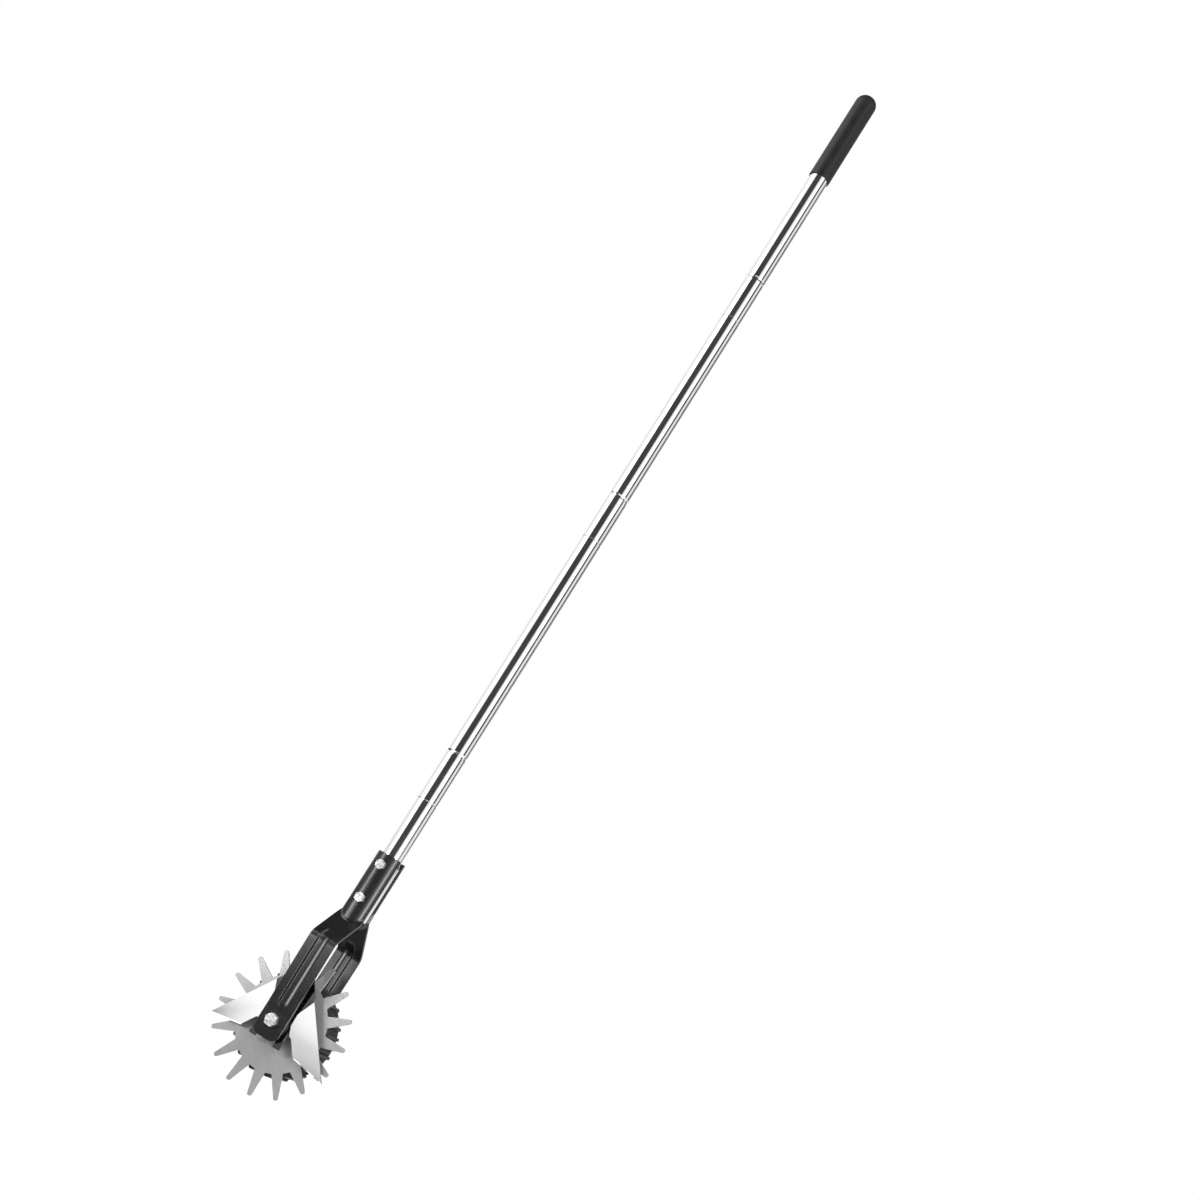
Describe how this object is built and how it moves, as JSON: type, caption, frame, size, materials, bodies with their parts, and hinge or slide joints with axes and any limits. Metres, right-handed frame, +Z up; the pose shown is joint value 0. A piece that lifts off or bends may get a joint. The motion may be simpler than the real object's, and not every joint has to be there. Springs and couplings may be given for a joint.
{
  "type": "rotary lawn edger",
  "caption": "Long-handled rotary lawn edger: a toothed star wheel beside a lugged tyre in a clamped fork, with a folded scraper blade, on a sectioned metal pole with a plain grip.",
  "frame": {"origin": "on the ground under the axle, at the foot of the star wheel's tip circle, in the pole's own plane", "axes": "+Z up the pole, +Y along the axle from the star wheel to the tyre, +X along the lawn's edge"},
  "size_m": [0.1506, 0.0974, 1.3682],
  "materials": {
    "black_coat": "fine-textured semi-gloss powder coat on stamped steel",
    "blade_polish": "mirror-polished stainless steel",
    "star_steel": "brushed stainless steel, brushed one way",
    "zinc_steel": "bright zinc-plated steel",
    "pole_polish": "polished stainless steel tube",
    "joint_nylon": "moulded black nylon",
    "tyre_rubber": "matt black rubber",
    "hub_plastic": "moulded black plastic",
    "bush_nylon": "natural acetal",
    "grip_rubber": "smooth matt black rubber"
  },
  "bodies": {
    "handle": {"near_fork_arm": "black_coat", "far_fork_arm": "black_coat", "clamp_bolts": "zinc_steel", "clamp_nuts": "zinc_steel", "axle_bolt": "zinc_steel", "axle_nut": "zinc_steel", "axle_washer": "zinc_steel", "axle_sleeve": "zinc_steel", "blade_spacer": "joint_nylon", "blade_washer": "zinc_steel", "scraper_blade": "blade_polish", "pole_stub": "pole_polish", "lower_pole": "pole_polish", "middle_pole": "pole_polish", "upper_pole": "pole_polish", "lower_socket": "joint_nylon", "middle_socket": "joint_nylon", "upper_socket": "joint_nylon", "lower_stud": "joint_nylon", "middle_stud": "joint_nylon", "upper_stud": "joint_nylon", "grip": "grip_rubber"},
    "wheel": {"star_wheel": "star_steel", "star_rivets": "zinc_steel", "wheel_hub": "hub_plastic", "tyre": "tyre_rubber", "near_bush": "bush_nylon", "far_bush": "bush_nylon"}
  },
  "joints": [
    {"name": "wheel_spin", "type": "hinge", "parent": "handle", "child": "wheel", "pos_m": [0, 0, 0.076], "axis": [0, 1, 0], "continuous": true}
  ]
}
